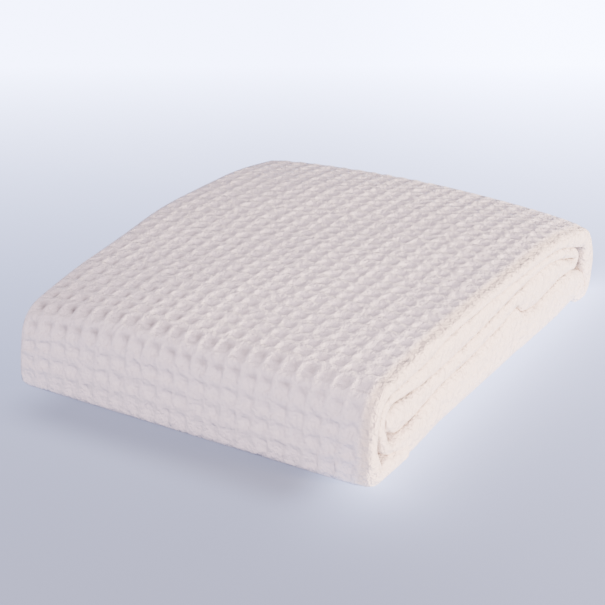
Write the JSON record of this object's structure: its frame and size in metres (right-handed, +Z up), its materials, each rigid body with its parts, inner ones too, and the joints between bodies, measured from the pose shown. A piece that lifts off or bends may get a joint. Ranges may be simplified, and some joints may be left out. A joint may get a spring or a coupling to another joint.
{
  "type": "folded blanket",
  "caption": "Waffle weave cotton blanket, folded into a flat strip and then turned over on itself into a soft rectangular block.",
  "frame": {"origin": "on the resting plane, under the middle of the folded block's bounding box", "axes": "+Z up; X across the folded strip, with +X at the end that shows one smooth fold per layer; Y along the block, from the near fold (-Y) to the far fold (+Y)"},
  "size_m": [0.3321, 0.4206, 0.0848],
  "materials": {
    "cotton": "matte"
  },
  "bodies": {
    "root": {"blanket": "cotton"}
  },
  "joints": []
}
